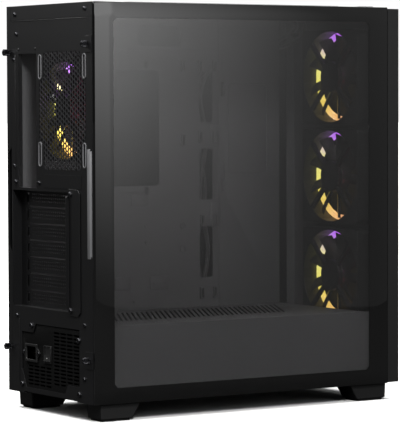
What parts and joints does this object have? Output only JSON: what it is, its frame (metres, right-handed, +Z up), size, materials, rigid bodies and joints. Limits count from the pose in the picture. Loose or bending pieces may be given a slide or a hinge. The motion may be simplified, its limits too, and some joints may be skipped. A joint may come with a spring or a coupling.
{
  "type": "desktop computer tower",
  "caption": "Mid-tower desktop computer case with a tinted glass side, lit fans, punched rear plate, power supply, dust filters and removable panels.",
  "frame": {"origin": "centre of the bounding box at floor level, under the feet", "axes": "+Z up; +Y from the front panel towards the rear plate; -X is the glass side, +X the steel side"},
  "size_m": [0.2094, 0.4548, 0.4956],
  "materials": {
    "black_steel": "fine-textured powder coat",
    "mesh_steel": "powder-coated perforated sheet",
    "black_abs": "fine moulded texture",
    "smoke_polycarbonate": "glossy, translucent smoke",
    "lit_acrylic": "milky diffuser, lit in colours",
    "rubber": "matt",
    "tinted_glass": "polished, grey tint, black border",
    "filter_net": "fine nylon net",
    "contact_brass": "plated",
    "cable_jacket": "soft PVC",
    "black_zinc": "black zinc plate"
  },
  "bodies": {
    "chassis": {"base_pan": "black_steel", "rear_plate": "black_steel", "rear_fan_mesh": "black_steel", "motherboard_tray": "black_steel", "top_frame": "black_steel", "front_frame": "black_steel", "psu_shroud": "black_steel", "slot_cover_1": "black_steel", "slot_cover_2": "black_steel", "slot_cover_3": "black_steel", "slot_cover_4": "black_steel", "slot_cover_5": "black_steel", "slot_cover_6": "black_steel", "slot_cover_7": "black_steel", "slot_guard": "black_steel", "psu_case": "black_steel", "drive_cage": "black_steel", "front_fan_1_frame": "black_abs", "front_fan_2_frame": "black_abs", "front_fan_3_frame": "black_abs", "rear_fan_frame": "black_abs", "psu_inlet": "black_abs", "foot_front_glass": "black_abs", "foot_front_steel": "black_abs", "foot_rear_glass": "black_abs", "foot_rear_steel": "black_abs", "top_io_panel": "black_abs", "usb_plug": "black_abs", "panel_plug": "black_abs", "front_fan_1_light_ring": "lit_acrylic", "front_fan_2_light_ring": "lit_acrylic", "front_fan_3_light_ring": "lit_acrylic", "rear_fan_light_ring": "lit_acrylic", "foot_pad_front_glass": "rubber", "foot_pad_front_steel": "rubber", "foot_pad_rear_glass": "rubber", "foot_pad_rear_steel": "rubber", "psu_inlet_contacts": "contact_brass", "usb_cable": "cable_jacket", "panel_cable": "cable_jacket"},
    "glass_panel": {"glass_pane": "tinted_glass", "glass_carrier": "black_steel"},
    "steel_panel": {"steel_side_panel": "black_steel"},
    "front_panel": {"front_bezel": "black_abs", "front_mesh": "mesh_steel", "front_dust_filter": "black_abs"},
    "top_filter": {"top_dust_filter": "filter_net"},
    "psu_filter": {"psu_dust_filter": "filter_net"},
    "power_button": {"power_button": "black_abs"},
    "reset_button": {"reset_button": "black_abs"},
    "psu_switch": {"psu_switch": "black_abs"},
    "psu_fan": {"psu_fan_rotor": "black_abs"},
    "front_fan_1_rotor": {"front_fan_1_rotor": "smoke_polycarbonate"},
    "front_fan_2_rotor": {"front_fan_2_rotor": "smoke_polycarbonate"},
    "front_fan_3_rotor": {"front_fan_3_rotor": "smoke_polycarbonate"},
    "rear_fan_rotor": {"rear_fan_rotor": "smoke_polycarbonate"},
    "thumbscrew_glass_lower": {"thumbscrew_glass_lower": "black_zinc"},
    "thumbscrew_glass_upper": {"thumbscrew_glass_upper": "black_zinc"},
    "thumbscrew_steel_lower": {"thumbscrew_steel_lower": "black_zinc"},
    "thumbscrew_steel_upper": {"thumbscrew_steel_upper": "black_zinc"}
  },
  "joints": [
    {"name": "glass_panel_slide", "type": "slide", "parent": "chassis", "child": "glass_panel", "axis": [0, 1, 0], "range_m": [0, 0.015]},
    {"name": "steel_panel_slide", "type": "slide", "parent": "chassis", "child": "steel_panel", "axis": [0, 1, 0], "range_m": [0, 0.015]},
    {"name": "front_panel_pull", "type": "slide", "parent": "chassis", "child": "front_panel", "axis": [0, -1, 0], "range_m": [0, 0.06]},
    {"name": "top_filter_lift", "type": "slide", "parent": "chassis", "child": "top_filter", "axis": [0, 0, 1], "range_m": [0, 0.06]},
    {"name": "psu_filter_slide", "type": "slide", "parent": "chassis", "child": "psu_filter", "axis": [0, 1, 0], "range_m": [0, 0.12]},
    {"name": "power_press", "type": "slide", "parent": "chassis", "child": "power_button", "axis": [0, 0, -1], "range_m": [0, 0.0015], "stiffness_N_per_m": 500},
    {"name": "reset_press", "type": "slide", "parent": "chassis", "child": "reset_button", "axis": [0, 0, -1], "range_m": [0, 0.0015], "stiffness_N_per_m": 300},
    {"name": "psu_switch_rock", "type": "hinge", "parent": "chassis", "child": "psu_switch", "pos_m": [0.009, 0.2161, 0.0718], "axis": [1, 0, 0], "range_deg": [-16, 0]},
    {"name": "rear_fan_spin", "type": "hinge", "parent": "chassis", "child": "rear_fan_rotor", "pos_m": [-0.03, 0.2036, 0.366], "axis": [0, 1, 0], "continuous": true},
    {"name": "psu_fan_spin", "type": "hinge", "parent": "chassis", "child": "psu_fan", "pos_m": [0.0016, 0.1464, 0.0265], "axis": [0, 0, 1], "continuous": true},
    {"name": "front_fan_1_spin", "type": "hinge", "parent": "chassis", "child": "front_fan_1_rotor", "pos_m": [-0.015, -0.1964, 0.407], "axis": [0, 1, 0], "continuous": true},
    {"name": "front_fan_2_spin", "type": "hinge", "parent": "chassis", "child": "front_fan_2_rotor", "pos_m": [-0.015, -0.1964, 0.2805], "axis": [0, 1, 0], "continuous": true},
    {"name": "front_fan_3_spin", "type": "hinge", "parent": "chassis", "child": "front_fan_3_rotor", "pos_m": [-0.015, -0.1964, 0.154], "axis": [0, 1, 0], "continuous": true},
    {"name": "thumbscrew_glass_lower_turn", "type": "hinge", "parent": "glass_panel", "child": "thumbscrew_glass_lower", "pos_m": [-0.0922, 0.2187, 0.073], "axis": [0, 1, 0], "continuous": true},
    {"name": "thumbscrew_glass_upper_turn", "type": "hinge", "parent": "glass_panel", "child": "thumbscrew_glass_upper", "pos_m": [-0.0922, 0.2187, 0.444], "axis": [0, 1, 0], "continuous": true},
    {"name": "thumbscrew_steel_lower_turn", "type": "hinge", "parent": "steel_panel", "child": "thumbscrew_steel_lower", "pos_m": [0.0968, 0.2187, 0.076], "axis": [0, 1, 0], "continuous": true},
    {"name": "thumbscrew_steel_upper_turn", "type": "hinge", "parent": "steel_panel", "child": "thumbscrew_steel_upper", "pos_m": [0.0968, 0.2187, 0.437], "axis": [0, 1, 0], "continuous": true}
  ]
}
